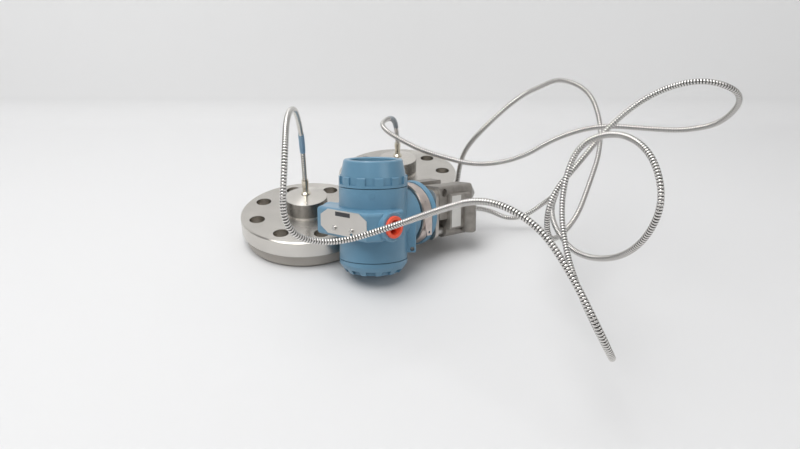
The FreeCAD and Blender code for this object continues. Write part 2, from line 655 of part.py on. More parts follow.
def module_collar():
    """Painted weld collar around the module, flared towards the process end."""
    ring = turned([(MODULE_R, 0), (COLLAR_R0, 0), (COLLAR_R1, COLLAR_T - 2.2),
                   (COLLAR_R1, COLLAR_T - 0.6), (COLLAR_R1 - 0.6, COLLAR_T), (MODULE_R, COLLAR_T)])
    ring.rotate(V(0, 0, 0), X, -90)
    return moved(ring, y=COLLAR_Y)


def tag_band():
    """Stainless band around the module, its end left as a straight hanging tag."""
    inner = MODULE_R + BAND_FIT
    outer = inner + BAND_T
    band = disc(outer, BAND_START, BAND_START + BAND_W, axis=Y).cut(
        disc(inner, BAND_START - 1, BAND_START + BAND_W + 1, axis=Y))
    end = BAND_START + BAND_W
    side = [V(inner, BAND_START, 0), V(inner, end, 0), V(inner, end - 0.5, -TONGUE_DROP),
            V(inner, end - 0.5 - TONGUE_END_W, -TONGUE_DROP)]
    tongue = Part.Face(Part.makePolygon(side + side[:1])).extrude(X * BAND_T)
    hole = disc(TONGUE_HOLE_R, inner - 1, outer + 1, axis=X,
                at=V(0, end - 0.5 - TONGUE_END_W / 2, -TONGUE_DROP + 3.5))
    return band.fuse(tongue).cut(hole)


save("sensor_module", sensor_module(), LIE)
save("module_collar", module_collar(), LIE)
save("tag_band", tag_band(), LIE)
save("isolating_diaphragms", Part.makeCompound(
    pads(ISOLATOR_R, BASE_END - ISOLATOR_T, BASE_END, ((-ISOLATOR_X, 0), (ISOLATOR_X, 0)))), LIE)


# ================================================================ process flange
GLAND_T = 2 * GLAND_SECTION_R + GLAND_EXTRA


def vent_boss():
    """Upright boss with a turned band near its top, modelled on its own axis."""
    band_top = VENT_TOP - VENT_BAND_DROP
    band_bottom = band_top - VENT_BAND_T
    slim = VENT_R - VENT_BAND_DEPTH
    boss = turned([(0, VENT_BOTTOM), (VENT_R - VENT_EDGE, VENT_BOTTOM),
                   (VENT_R, VENT_BOTTOM + VENT_EDGE), (VENT_R, band_bottom), (slim, band_bottom),
                   (slim, band_top), (VENT_R, band_top), (VENT_R, VENT_TOP - VENT_EDGE),
                   (VENT_R - VENT_EDGE, VENT_TOP), (0, VENT_TOP)])
    return boss


def process_flange():
    """Cast coplanar flange: wide upper half with two lugs, end blocks, upright vent bosses."""
    wide = BOLT_X + BOLT_PAD_R
    upper = block(-wide, wide, BASE_END, CORE_END, UPPER_BOTTOM, UPPER_TOP - UPPER_EDGE)
    solids = [block(-CORE_X, CORE_X, BASE_END, CORE_END, -CORE_Z, CORE_Z)]
    solids += pads(LOWER_PAD_R, END_START, PAD_END, [p for p in bolt_places() if p[1] < 0])
    for side in (-1, 1):
        across = sorted((side * UPPER_LUG_IN, side * wide))
        lug = block(across[0], across[1], BASE_END, PAD_END, UPPER_BOTTOM + 16, UPPER_TOP)
        solids.append(lug.makeFillet(UPPER_EDGE, edges_where(
            lug, lambda e: e.CenterOfMass.z > UPPER_TOP - 0.01
            and abs(e.CenterOfMass.x) > wide - 0.01)))
        span = sorted((side * CORE_X * 0.8, side * END_X))
        end = block(span[0], span[1], END_START, CORE_END, END_BOTTOM, END_TOP)
        solids.append(end.makeChamfer(END_EDGE, edges_where(
            end, lambda e: abs(e.CenterOfMass.x) > END_X - 0.01)))
        solids.append(moved(vent_boss(), x=side * VENT_X, y=VENT_Y))
    solids.append(block(-BOLT_X, BOLT_X, END_START, CORE_END, -BOLT_Z - LOWER_PAD_R + 3, 0))
    body = upper.fuse(solids)
    cuts = pads(BOLT_R + BOLT_GAP, BASE_END - 1, PAD_END + 1, bolt_places())
    cuts += pads(PORT_R, CORE_END - PORT_T, CORE_END + 1, ((-PORT_X, 0), (PORT_X, 0)))
    for side in (-1, 1):
        cuts.append(disc(GLAND_MID_R + GLAND_SECTION_R + GLAND_EXTRA, BASE_END - 1,
                         BASE_END + GLAND_T, axis=Y, at=V(side * ISOLATOR_X, 0, 0)))
        cuts.append(disc(TAP_R, wide - TAP_DEPTH, wide + 1, axis=V(side, 0, 0),
                         at=V(0, BASE_END + TAP_Y, TAP_Z)))
        cuts.append(disc(VENT_PLUG_R, VENT_BOTTOM - 1, VENT_BOTTOM + VENT_PLUG_T,
                         at=V(side * VENT_X, VENT_Y, 0)))
    return body.cut(cuts)


def flange_bolts():
    """Four hexagon bolts that clamp the flange to the sensor module."""
    bolts = []
    for x, z in bolt_places():
        shank = disc(BOLT_R - BOLT_GAP, BASE_END - BOLT_IN_MODULE + 0.5, PAD_END,
                     axis=Y, at=V(x, 0, z))
        head = prism([(x + a, z + b) for a, b in hexagon(BOLT_AF)], PAD_END,
                     PAD_END + BOLT_HEAD_T, Y)
        crown = turned([(0, 0), (BOLT_AF * 0.6, 0), (BOLT_AF * 0.6, BOLT_HEAD_T - 1.4),
                        (BOLT_AF * 0.47, BOLT_HEAD_T), (0, BOLT_HEAD_T)])
        crown.rotate(V(0, 0, 0), X, -90)
        bolts.append(head.common(moved(crown, x=x, y=PAD_END, z=z)).fuse(shank))
    return Part.makeCompound(bolts)


def vent_plug(side):
    """Small flush plug with a hexagon socket, screwed up into the vent boss."""
    at = V(side * VENT_X, VENT_Y, 0)
    plug = disc(VENT_PLUG_R - 0.05, VENT_BOTTOM + 0.5, VENT_BOTTOM + VENT_PLUG_T - 0.3, at=at)
    socket = prism([(at.x + a, at.y + b) for a, b in hexagon(VENT_PLUG_AF)],
                   VENT_BOTTOM, VENT_BOTTOM + VENT_PLUG_AF_T, Z)
    return plug.cut(socket)


def capillary_connector(side):
    """Turned connector welded into a process port: flange, neck and hose collar."""
    at = V(side * PORT_X, 0, 0)
    spigot = disc(PORT_R - CONNECTOR_GAP, CORE_END - PORT_T + 0.5, CORE_END, axis=Y, at=at)
    rim = disc(CONNECTOR_FLANGE_R, CORE_END, CORE_END + CONNECTOR_FLANGE_T, axis=Y, at=at)
    neck = disc(CONNECTOR_NECK_R, CORE_END, CONNECTOR_END, axis=Y, at=at)
    return spigot.fuse([rim.makeChamfer(0.8, edges_where(
        rim, lambda e: e.CenterOfMass.y > CORE_END + CONNECTOR_FLANGE_T - 0.01)), neck])


save("process_flange", process_flange(), LIE)
save("flange_bolts", flange_bolts(), LIE)
save("vent_plug_1", vent_plug(1), LIE)
save("vent_plug_2", vent_plug(-1), LIE)
save("capillary_connector_1", capillary_connector(1), LIE)
save("capillary_connector_2", capillary_connector(-1), LIE)
rings = []
for side in (-1, 1):
    torus = Part.makeTorus(GLAND_MID_R, GLAND_SECTION_R,
                           V(side * ISOLATOR_X, BASE_END + GLAND_SECTION_R + GLAND_EXTRA / 2, 0), Y)
    rings.append(torus)
save("process_orings", Part.makeCompound(rings), LIE)
save("flange_label", block(END_X, END_X + LABEL_T, LABEL_Y0, LABEL_Y0 + LABEL_W,
                           LABEL_BOTTOM, LABEL_TOP), LIE)


# ================================================================ armoured capillaries
# Route points of each hose, chosen by hand: from the seal's fitting over, round and back to
# the process end. Corners are rounded by the largest tangent arc that both runs allow.
HOSE_1 = [(-59, -50, 150), (-55, -95, 187),
          (-50, -151, 216), (-48, -208, 227), (-44, -258, 206), (-49, -277, 143), (-8, -252, 116),
          (52, -246, 134), (87, -271, 162), (125, -303, 192), (163, -339, 187),
          (187, -368, 158), (211, -397, 115), (232, -372, 72), (222, -301, 81),
          (213, -248, 104), (210, -213, 145), (222, -200, 195), (248, -228, 221),
          (265, -275, 223), (271, -310, 193), (265, -301, 148), (253, -267, 109),
          (231, -221, 86), (220, -168, 87), (225, -117, 86), (243, -66, 82), (252, -22, 56),
          (206, -16, 12), (161, -15, 36)]
HOSE_2 = [(111, 10, 28), (123, 21, 34), (132, 26, 49), (133, 20, 76), (138, -3, 112),
          (158, -28, 150), (196, -14, 181), (228, 23, 182), (259, 53, 184), (296, 47, 170),
          (305, 9, 143), (296, -35, 119), (278, -73, 97), (254, -120, 70), (212, -176, 70),
          (205, -180.5, 128), (244, -147, 157), (277, -122, 188), (313, -133, 227),
          (347, -165, 250), (391, -163, 233), (389, -134, 193), (364, -104, 173),
          (334, -80, 166), (286, -54, 161), (242, -36, 139), (202, -31, 109), (152, -28, 98),
          (107, -18, 106), (72, -4, 113), (26, 32, 128), (48, 88, 122)]


def hose(points, name):
    """Plain tube along straight runs joined by tangent arcs."""
    edges, radii, cursor = [], [], points[0]
    for before, here, after in zip(points, points[1:], points[2:]):
        run_in, run_out = here.sub(before), after.sub(here)
        shorter = min(run_in.Length, run_out.Length)
        turn = run_in.getAngle(run_out)
        trim = 0.45 * shorter
        radius = trim / math.tan(turn / 2)
        a = here.sub(V(run_in).normalize() * trim)
        b = here.add(V(run_out).normalize() * trim)
        half = V(run_out).normalize().sub(V(run_in).normalize()).normalize()
        middle = here.add(half * (radius / math.cos(turn / 2) - radius))
        edges.append(Part.LineSegment(cursor, a).toShape())
        edges.append(Part.Arc(a, middle, b).toShape())
        radii.append(radius)
        cursor = b
    edges.append(Part.LineSegment(cursor, points[-1]).toShape())
    path = Part.Wire(edges)
    start = Part.Wire(Part.Circle(points[0], points[1].sub(points[0]), HOSE_R).toShape())
    tube = path.makePipeShell([start], True, True)
    print(name, "length %.0f" % path.Length, "radii", " ".join("%.0f" % r for r in radii))
    print(name, "volume ratio %.4f" % (tube.Volume / (math.pi * HOSE_R ** 2 * path.Length)))
    return tube


def connector_face(side):
    return LIE.multVec(V(side * PORT_X, CONNECTOR_END, 0))


hose_start = GUARD_T + FLANGE_T + HUB_T + HUB_CONE_T + FITTING_T
route_1 = [SEAL_1 + Z * hose_start, SEAL_1 + Z * (hose_start + HOSE_RISE_1)]
route_1 += [V(*p) for p in HOSE_1] + [connector_face(1)]
route_2 = [connector_face(-1)] + [V(*p) for p in HOSE_2]
route_2 += [SEAL_2 + Z * (hose_start + HOSE_RISE_2), SEAL_2 + Z * hose_start]
save("hose_1", hose(route_1, "hose_1"))
save("hose_2", hose(route_2, "hose_2"))
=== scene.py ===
import math
import bpy
from mathutils import Matrix, Vector


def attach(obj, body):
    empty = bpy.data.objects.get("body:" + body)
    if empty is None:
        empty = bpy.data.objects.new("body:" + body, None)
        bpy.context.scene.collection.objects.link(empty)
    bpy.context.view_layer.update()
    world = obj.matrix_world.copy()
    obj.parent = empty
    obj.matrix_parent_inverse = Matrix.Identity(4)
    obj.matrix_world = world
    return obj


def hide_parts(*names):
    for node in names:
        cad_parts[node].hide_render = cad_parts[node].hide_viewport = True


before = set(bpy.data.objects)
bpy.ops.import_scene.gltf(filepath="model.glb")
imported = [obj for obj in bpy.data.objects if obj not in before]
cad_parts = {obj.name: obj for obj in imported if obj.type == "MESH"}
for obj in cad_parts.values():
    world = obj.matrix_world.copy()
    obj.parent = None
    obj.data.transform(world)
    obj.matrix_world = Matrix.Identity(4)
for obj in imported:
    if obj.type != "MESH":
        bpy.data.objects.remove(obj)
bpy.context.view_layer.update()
bpy.ops.object.select_all(action="DESELECT")

# The camera stands in front of the name plate's side, a little above the covers,
# and looks down on the whole set as one would at a bench.
CAMERA_AT = (0.05365, -0.82589, 0.44927)
CAMERA_DOWN = 28.53         # degrees below level
CAMERA_LENS = 31.88         # millimetres, on a 36 mm wide film
camera = bpy.data.cameras.new("camera")
camera.lens = CAMERA_LENS
camera.sensor_width = 36
camera.clip_end = 20
camera_object = bpy.data.objects.new("camera", camera)
camera_object.location = CAMERA_AT
camera_object.rotation_euler = (math.radians(90 - CAMERA_DOWN), 0, 0)
bpy.context.collection.objects.link(camera_object)
bpy.context.scene.camera = camera_object
bpy.context.scene.view_settings.view_transform = "Standard"


# The two capillaries are thin steel tubes in a bright armour of interlocked strip, wound
# from flat band so that each turn stands proud as a narrow rib. Both run loose between a
# seal's fitting and the process end of the transmitter, and their own stiffness holds them.
HOSE_DIAMETER = 0.0061
RIB_PITCH = 0.00275
RIB_GROOVE = 0.18           # depth of the groove between ribs, as a share of the radius
# One turn of the strip: (share of the pitch, share of the radius).
RIB_PROFILE = ((0.0, 0.82), (0.20, 0.82), (0.31, 0.97), (0.58, 1.0), (0.90, 0.98))
RIB_SIDES = 16
# Controls of each hose's line, in millimetres, from its first end to its second.
hose_routes = {
    "hose_1": [(-63.95, -30.29, 79.4), (-63.95, -30.29, 106), (-61.35, -51.89, 150),
               (-57.35, -96.89, 187), (-52.35, -152.89, 216), (-50.35, -209.89, 227),
               (-46.35, -259.89, 206), (-51.35, -278.89, 143), (-10.35, -253.89, 116),
               (49.65, -247.89, 134), (84.65, -272.89, 162), (122.65, -304.89, 192),
               (160.65, -340.89, 187), (184.65, -369.89, 158), (208.65, -398.89, 115),
               (229.65, -373.89, 72), (219.65, -302.89, 81), (210.65, -249.89, 104),
               (207.65, -214.89, 145), (219.65, -201.89, 195), (245.65, -229.89, 221),
               (262.65, -276.89, 223), (268.65, -311.89, 193), (262.65, -302.89, 148),
               (250.65, -268.89, 109), (228.65, -222.89, 86), (217.65, -169.89, 87),
               (222.65, -118.89, 86), (240.65, -67.89, 82), (249.65, -23.89, 56),
               (203.65, -17.89, 12), (158.65, -16.89, 36)],
    "hose_2": [(108.65, 8.11, 28), (120.65, 19.11, 34), (129.65, 24.11, 49),
               (130.65, 18.11, 76), (135.65, -4.89, 112), (155.65, -29.89, 150),
               (193.65, -15.89, 181), (225.65, 21.11, 182), (256.65, 51.11, 184),
               (293.65, 45.11, 170), (302.65, 7.11, 143), (293.65, -36.89, 119),
               (275.65, -74.89, 97), (251.65, -121.89, 70), (209.65, -177.89, 70),
               (202.65, -182.39, 128), (241.65, -148.89, 157), (274.65, -123.89, 188),
               (310.65, -134.89, 227), (344.65, -166.89, 250), (388.65, -164.89, 233),
               (386.65, -135.89, 193), (361.65, -105.89, 173), (331.65, -81.89, 166),
               (283.65, -55.89, 161), (239.65, -37.89, 139), (199.65, -32.89, 109),
               (149.65, -29.89, 98), (104.65, -19.89, 106), (69.65, -5.89, 113),
               (23.65, 30.11, 128), (45.65, 86.11, 122), (50.15, 90.51, 88),
               (50.15, 90.51, 79.4)],
}
# The transmitter's own axes: X out of the plugged entry, Y to the process end, Z to the
# display cover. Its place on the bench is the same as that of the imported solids.
TRANSMITTER_AT = (23.15, -108.99, 66.97)
LEAN, SPIN = 18.5, 45
CONNECTOR_X, CONNECTOR_END = 0.027, 0.135
lie = (Matrix.Translation(Vector(TRANSMITTER_AT) / 1000)
       @ Matrix.Rotation(math.radians(-LEAN), 4, "X")
       @ Matrix.Rotation(math.radians(-SPIN), 4, "Z"))
hose_routes["hose_1"].append(tuple(lie @ Vector((CONNECTOR_X, CONNECTOR_END, 0)) * 1000))
hose_routes["hose_2"].insert(0, tuple(lie @ Vector((-CONNECTOR_X, CONNECTOR_END, 0)) * 1000))

armour = bpy.data.materials.new("bright_armour_strip")
armour.use_nodes = True
nodes, links = armour.node_tree.nodes, armour.node_tree.links
shader = nodes["Principled BSDF"]
shader.inputs["Metallic"].default_value = 1.0
groove = nodes.new("ShaderNodeAttribute")
groove.attribute_name = "groove"
# Painted shade: the ramp darkens the strip to near black where the groove between ribs is deep,
# and keeps the rib tops bright.
painted_groove_shade = nodes.new("ShaderNodeValToRGB")
painted_groove_shade.color_ramp.elements[0].color = (0.86, 0.84, 0.81, 1)
painted_groove_shade.color_ramp.elements[0].position = 0.15
painted_groove_shade.color_ramp.elements[1].color = (0.035, 0.032, 0.030, 1)
painted_groove_shade.color_ramp.elements[1].position = 0.75
links.new(groove.outputs["Fac"], painted_groove_shade.inputs["Fac"])
place = nodes.new("ShaderNodeTexCoord")
smear = nodes.new("ShaderNodeTexNoise")
smear.inputs["Scale"].default_value = 60
smear.inputs["Detail"].default_value = 3
tarnish = nodes.new("ShaderNodeMix")
tarnish.data_type = "RGBA"
tarnish.blend_type = "MULTIPLY"
tarnish.inputs["Factor"].default_value = 0.25
links.new(painted_groove_shade.outputs["Color"], tarnish.inputs["A"])
links.new(smear.outputs["Fac"], tarnish.inputs["B"])
links.new(tarnish.outputs["Result"], shader.inputs["Base Color"])
spread = nodes.new("ShaderNodeMapRange")
spread.inputs["To Min"].default_value = 0.14
spread.inputs["To Max"].default_value = 0.30
links.new(place.outputs["Object"], smear.inputs["Vector"])
links.new(smear.outputs["Fac"], spread.inputs["Value"])
links.new(spread.outputs["Result"], shader.inputs["Roughness"])


def centreline(name, route):
    """The smooth line of a hose, read from a spline that has the route as its controls."""
    curve = bpy.data.curves.new(name + "_line", "CURVE")
    curve.dimensions = "3D"
    spline = curve.splines.new("NURBS")
    spline.points.add(len(route) - 1)
    for point, spot in zip(spline.points, route):
        point.co = (spot[0] / 1000, spot[1] / 1000, spot[2] / 1000, 1)
    spline.order_u = 3
    spline.use_endpoint_u = True
    spline.resolution_u = 32
    line = bpy.data.objects.new(name + "_line", curve)
    bpy.context.collection.objects.link(line)
    bpy.context.view_layer.update()
    mesh = bpy.data.meshes.new_from_object(line.evaluated_get(
        bpy.context.evaluated_depsgraph_get()))
    points = [vertex.co.copy() for vertex in mesh.vertices]
    bpy.data.objects.remove(line)
    bpy.data.meshes.remove(mesh)
    return points


def along(points, spots):
    """Places and directions at given distances along a line of points."""
    result, index, passed = [], 0, 0.0
    run = (points[1] - points[0]).length
    for spot in spots:
        while spot > passed + run and index < len(points) - 2:
            passed += run
            index += 1
            run = (points[index + 1] - points[index]).length
        share = min(max((spot - passed) / run, 0.0), 1.0)
        here = points[index].lerp(points[index + 1], share)
        ahead = (points[min(index + 2, len(points) - 1)] - points[max(index - 1, 0)]).normalized()
        result.append((here, ahead))
    return result


def ring_tube(name, rings, sides):
    """Closed tube through rings of (place, direction, radius, groove depth)."""
    vertices, faces, depths = [], [], []
    side = rings[0][1].orthogonal().normalized()
    for here, ahead, radius, depth in rings:
        side = (side - ahead * side.dot(ahead)).normalized()
        up = ahead.cross(side)
        for step in range(sides):
            turn = 2 * math.pi * step / sides
            vertices.append(here + (side * math.cos(turn) + up * math.sin(turn)) * radius)
            depths.append(depth)
    for ring in range(len(rings) - 1):
        for step in range(sides):
            a = ring * sides + step
            b = ring * sides + (step + 1) % sides
            faces.append((a, b, b + sides, a + sides))
    faces.append(tuple(reversed(range(sides))))
    faces.append(tuple(range(len(vertices) - sides, len(vertices))))
    mesh = bpy.data.meshes.new(name)
    mesh.from_pydata(vertices, [], faces)
    layer = mesh.attributes.new("groove", "FLOAT", "POINT")
    layer.data.foreach_set("value", depths)
    for face in mesh.polygons:
        face.use_smooth = True
    piece = bpy.data.objects.new(name, mesh)
    bpy.context.collection.objects.link(piece)
    return piece


def tape_material(name, color):
    """Wrinkled plastic tape, wound round a hose in a few turns."""
    tape = bpy.data.materials.new(name)
    tape.use_nodes = True
    nodes, links = tape.node_tree.nodes, tape.node_tree.links
    shader = nodes["Principled BSDF"]
    place = nodes.new("ShaderNodeTexCoord")
    folds = nodes.new("ShaderNodeTexNoise")
    folds.inputs["Scale"].default_value = 700
    # Painted shade: the ramp darkens the tape where the fold relief dips, in the creases.
    shade = nodes.new("ShaderNodeValToRGB")
    shade.color_ramp.elements[0].position = 0.3
    shade.color_ramp.elements[0].color = (*(part * 0.6 for part in color), 1)
    shade.color_ramp.elements[1].position = 0.7
    shade.color_ramp.elements[1].color = (*color, 1)
    relief = nodes.new("ShaderNodeBump")
    relief.inputs["Distance"].default_value = 0.0004
    shader.inputs["Roughness"].default_value = 0.38
    links.new(place.outputs["Object"], folds.inputs["Vector"])
    links.new(folds.outputs["Fac"], shade.inputs["Fac"])
    links.new(shade.outputs["Color"], shader.inputs["Base Color"])
    links.new(folds.outputs["Fac"], relief.inputs["Height"])
    links.new(relief.outputs["Normal"], shader.inputs["Normal"])
    return tape


# Each hose's tape: where it starts and ends along the hose, its material and its colour.
TAPES = {"hose_1": (0.041, 0.076, "blue_tape", (0.22, 0.40, 0.58)),
         "hose_2": (1.416, 1.447, "grey_tape", (0.34, 0.38, 0.42))}
TAPE_STEPS = 24
TAPE_DOUBLE = range(4, 20)  # steps where a second layer lies on the first
TAPE_THICK, TAPE_THIN, TAPE_WAVE = 0.00045, 0.00028, 0.00012
for name, route in hose_routes.items():
    points = centreline(name, route)
    length = sum((b - a).length for a, b in zip(points, points[1:]))
    turns = int(length / RIB_PITCH)
    pitch = length / turns
    spots = [(turn + share) * pitch for turn in range(turns) for share, size in RIB_PROFILE]
    sizes = [size for turn in range(turns) for share, size in RIB_PROFILE]
    rings = [(here, ahead, HOSE_DIAMETER / 2 * size, (1 - size) / RIB_GROOVE)
             for (here, ahead), size in zip(along(points, spots), sizes)]
    hose = ring_tube(name + "_armour", rings, RIB_SIDES)
    hose.data.materials.append(armour)
    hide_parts(name)
    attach(hose, "base")
    # A few turns of tape near the seal tell the two hoses apart. The outer layer ends short
    # of the inner one.
    first, last, tape_name, tape_color = TAPES[name]
    steps = [first + (last - first) * step / TAPE_STEPS for step in range(TAPE_STEPS + 1)]
    rings = [(here, ahead, HOSE_DIAMETER / 2 + (TAPE_THICK if step in TAPE_DOUBLE else TAPE_THIN)
              + TAPE_WAVE * math.sin(step * 2.4), 0.0)
             for step, (here, ahead) in enumerate(along(points, steps))]
    tape = ring_tube(name + "_tape", rings, RIB_SIDES)
    tape.data.materials.append(tape_material(tape_name, tape_color))
    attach(tape, "base")


# Bench and backdrop: one sheet of pale paper that lies flat under the set and bends up
# behind it. It is lit softly and looks almost white. The flat part catches more of the light,
# so its colour is painted darker and the upright part's lighter: painted shade on the flat
# part and painted light on the upright part, to even out how the light falls.
BEND_START, BEND_RADIUS = 0.345, 0.045
BEND_ROWS = 24
SHEET_WIDTH, SHEET_REACH = 9, 3.5
bpy.ops.mesh.primitive_grid_add(x_subdivisions=2, y_subdivisions=BEND_ROWS, size=1,
                                location=(0, 0, 0))
sheet = bpy.context.object
sheet.name = "bench"
for vertex in sheet.data.vertices:
    # The first row is the near edge and the last the top edge; the rows between are the bend.
    share = min(max((vertex.co.y + 0.5) * BEND_ROWS / (BEND_ROWS - 2) - 1 / (BEND_ROWS - 2), 0), 1)
    turn = share * math.pi / 2
    y = BEND_START + BEND_RADIUS * math.sin(turn)
    z = BEND_RADIUS * (1 - math.cos(turn))
    if vertex.co.y < -0.499:
        y = -SHEET_REACH
    if vertex.co.y > 0.499:
        z = SHEET_REACH
    vertex.co = (vertex.co.x * SHEET_WIDTH, y, z)
paper = bpy.data.materials.new("pale_paper")
paper.use_nodes = True
nodes, links = paper.node_tree.nodes, paper.node_tree.links
shader = nodes["Principled BSDF"]
shader.inputs["Roughness"].default_value = 0.9
place = nodes.new("ShaderNodeTexCoord")
height = nodes.new("ShaderNodeSeparateXYZ")
rise = nodes.new("ShaderNodeMapRange")
rise.inputs["From Min"].default_value = 0.002
rise.inputs["From Max"].default_value = 0.05
# Painted light: the upright part gets a lighter colour than the flat part, to even out the light.
painted_light_by_height = nodes.new("ShaderNodeMix")
painted_light_by_height.data_type = "RGBA"
painted_light_by_height.inputs["A"].default_value = (0.69, 0.69, 0.693, 1)
painted_light_by_height.inputs["B"].default_value = (0.85, 0.85, 0.85, 1)
links.new(place.outputs["Object"], height.inputs["Vector"])
links.new(height.outputs["Z"], rise.inputs["Value"])
links.new(rise.outputs["Result"], painted_light_by_height.inputs["Factor"])
links.new(painted_light_by_height.outputs["Result"], shader.inputs["Base Color"])
# From behind or below, the sheet lets the camera look through it at the set.
side = nodes.new("ShaderNodeNewGeometry")
ray = nodes.new("ShaderNodeLightPath")
looked_through = nodes.new("ShaderNodeMath")
looked_through.operation = "MULTIPLY"
clear = nodes.new("ShaderNodeBsdfTransparent")
choice = nodes.new("ShaderNodeMixShader")
links.new(side.outputs["Backfacing"], looked_through.inputs[0])
links.new(ray.outputs["Is Camera Ray"], looked_through.inputs[1])
links.new(looked_through.outputs["Value"], choice.inputs["Fac"])
links.new(shader.outputs["BSDF"], choice.inputs[1])
links.new(clear.outputs["BSDF"], choice.inputs[2])
links.new(choice.outputs["Shader"], nodes["Material Output"].inputs["Surface"])
sheet.data.materials.append(paper)

# Two large soft lamps: one overhead and a little to the front left, one weak fill.
LAMP_AIM = (0.05, -0.05, 0)
ROOM_TONE, ROOM_STRENGTH = 0.80, 0.38
for name, spot, size, power in (("key", (-0.5, -0.5, 1.9), 1.5, 35),
                                ("fill", (1.6, -1.4, 1.2), 1.2, 6)):
    lamp = bpy.data.lights.new(name, "AREA")
    lamp.size = size
    lamp.energy = power
    lamp_object = bpy.data.objects.new(name, lamp)
    lamp_object.location = spot
    away = Vector(spot) - Vector(LAMP_AIM)
    lamp_object.rotation_euler = away.to_track_quat("Z", "Y").to_euler()
    bpy.context.collection.objects.link(lamp_object)
world = bpy.data.worlds.new("room")
bpy.context.scene.world = world
world.use_nodes = True
backdrop = world.node_tree.nodes["Background"]
backdrop.inputs["Color"].default_value = (ROOM_TONE, ROOM_TONE, ROOM_TONE, 1)
backdrop.inputs["Strength"].default_value = ROOM_STRENGTH


# Surface of small things that every finish shares: slow drifts of tone and fine grain.
drift = bpy.data.node_groups.new("tone_and_grain", "ShaderNodeTree")
for name, kind, direction in (("Color", "Color", "INPUT"), ("Drift", "Float", "INPUT"),
                              ("Drift Scale", "Float", "INPUT"),
                              ("Grain Scale", "Float", "INPUT"),
                              ("Roughness", "Float", "INPUT"),
                              ("Color", "Color", "OUTPUT"), ("Roughness", "Float", "OUTPUT"),
                              ("Height", "Float", "OUTPUT")):
    drift.interface.new_socket(name=name, in_out=direction, socket_type="NodeSocket" + kind)
inner, wires = drift.nodes, drift.links
arrive = inner.new("NodeGroupInput")
leave = inner.new("NodeGroupOutput")
spot = inner.new("ShaderNodeTexCoord")
slow = inner.new("ShaderNodeTexNoise")
slow.inputs["Detail"].default_value = 5
fine = inner.new("ShaderNodeTexNoise")
fine.inputs["Detail"].default_value = 3
wires.new(spot.outputs["Object"], slow.inputs["Vector"])
wires.new(spot.outputs["Object"], fine.inputs["Vector"])
wires.new(arrive.outputs["Drift Scale"], slow.inputs["Scale"])
wires.new(arrive.outputs["Grain Scale"], fine.inputs["Scale"])
centred = inner.new("ShaderNodeMath")
centred.operation = "SUBTRACT"
centred.inputs[1].default_value = 0.5
wires.new(slow.outputs["Fac"], centred.inputs[0])
scaled = inner.new("ShaderNodeMath")
scaled.operation = "MULTIPLY_ADD"
scaled.inputs[2].default_value = 1.0
wires.new(centred.outputs[0], scaled.inputs[0])
wires.new(arrive.outputs["Drift"], scaled.inputs[1])
shade = inner.new("ShaderNodeVectorMath")
shade.operation = "SCALE"
wires.new(arrive.outputs["Color"], shade.inputs[0])
wires.new(scaled.outputs[0], shade.inputs["Scale"])
wires.new(shade.outputs["Vector"], leave.inputs["Color"])
rough = inner.new("ShaderNodeMath")
rough.operation = "MULTIPLY"
wires.new(arrive.outputs["Roughness"], rough.inputs[0])
wires.new(scaled.outputs[0], rough.inputs[1])
wires.new(rough.outputs[0], leave.inputs["Roughness"])
wires.new(fine.outputs["Fac"], leave.inputs["Height"])


def finish(name, color, roughness, metallic=0.0, drift_amount=0.25, drift_scale=40.0,
           grain_scale=900.0, grain_depth=0.00002, coat=0.0):
    """One finish: a colour with slow drifts, grain in its gloss and a slight relief."""
    material = bpy.data.materials.new(name)
    material.use_nodes = True
    nodes, links = material.node_tree.nodes, material.node_tree.links
    shader = nodes["Principled BSDF"]
    shader.inputs["Metallic"].default_value = metallic
    shader.inputs["Coat Weight"].default_value = coat
    shader.inputs["Coat Roughness"].default_value = 0.08
    group = nodes.new("ShaderNodeGroup")
    group.node_tree = drift
    group.inputs["Color"].default_value = (*color, 1)
    group.inputs["Drift"].default_value = drift_amount
    group.inputs["Drift Scale"].default_value = drift_scale
    group.inputs["Grain Scale"].default_value = grain_scale
    group.inputs["Roughness"].default_value = roughness
    relief = nodes.new("ShaderNodeBump")
    relief.inputs["Distance"].default_value = grain_depth
    relief.inputs["Strength"].default_value = 0.6
    links.new(group.outputs["Color"], shader.inputs["Base Color"])
    links.new(group.outputs["Roughness"], shader.inputs["Roughness"])
    links.new(group.outputs["Height"], relief.inputs["Height"])
    links.new(relief.outputs["Normal"], shader.inputs["Normal"])
    return material


def dress(material, *names):
    """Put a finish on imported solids."""
    for name in names:
        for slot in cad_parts[name].material_slots:
            slot.material = material


# Remote seals. Each is a turned stainless flange with eight bolt holes and a hub; its thin
# diaphragm is welded into the raised face, and a moulded guard covers that face in transit.
# Turning leaves fine rings round the axis, so a light's reflection on them draws out across.
def turned_sheen(material, centre, amount):
    """Stretch a metal's reflections across the fine rings that turning leaves about +Z."""
    nodes, links = material.node_tree.nodes, material.node_tree.links
    place = nodes.new("ShaderNodeTexCoord")
    reach = nodes.new("ShaderNodeVectorMath")
    reach.operation = "SUBTRACT"
    reach.inputs[1].default_value = centre
    ring = nodes.new("ShaderNodeVectorMath")
    ring.operation = "CROSS_PRODUCT"
    ring.inputs[1].default_value = (0, 0, 1)
    across = nodes.new("ShaderNodeVectorMath")
    across.operation = "CROSS_PRODUCT"
    surface = nodes.new("ShaderNodeNewGeometry")
    links.new(place.outputs["Object"], reach.inputs[0])
    links.new(reach.outputs["Vector"], ring.inputs[0])
    links.new(ring.outputs["Vector"], across.inputs[0])
    links.new(surface.outputs["Normal"], across.inputs[1])
    links.new(across.outputs["Vector"], nodes["Principled BSDF"].inputs["Tangent"])
    nodes["Principled BSDF"].inputs["Anisotropic"].default_value = amount


SEAL_CENTRES = ((1, (-63.95, -30.29)), (2, (50.15, 90.51)))
SEAL_MIDDLE = 0.03          # a height inside the flange, on its axis
